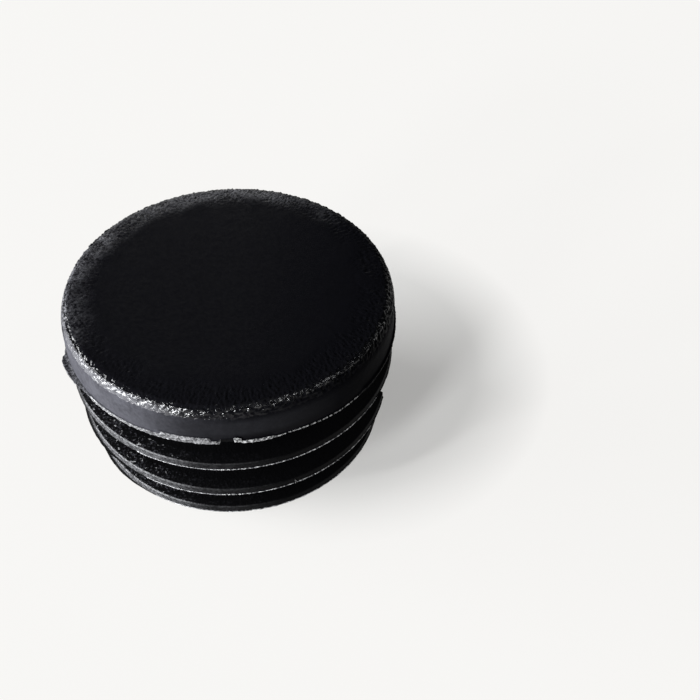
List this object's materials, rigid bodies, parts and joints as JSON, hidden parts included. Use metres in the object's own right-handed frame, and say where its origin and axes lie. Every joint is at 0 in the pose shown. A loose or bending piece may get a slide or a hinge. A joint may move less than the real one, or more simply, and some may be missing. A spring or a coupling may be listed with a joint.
{
  "type": "tube end cap",
  "caption": "Round ribbed plug that closes the end of a round tube: a soft-edged head over a hollow spigot with thin flexible fins.",
  "frame": {"origin": "centre of the open end, on the surface the cap stands on", "axes": "+Z along the axis from the open end to the head; +X to the right of the widest flash patch's side, -Y towards the torn gap in the flash lip"},
  "size_m": [0.0324, 0.0324, 0.0197],
  "materials": {
    "black_polyethylene": "black low-density polyethylene, injection moulded: spark-textured head face and soft edge, smooth semi-matt head side, matt fins and spigot"
  },
  "bodies": {
    "root": {"end_cap": "black_polyethylene"}
  },
  "joints": []
}
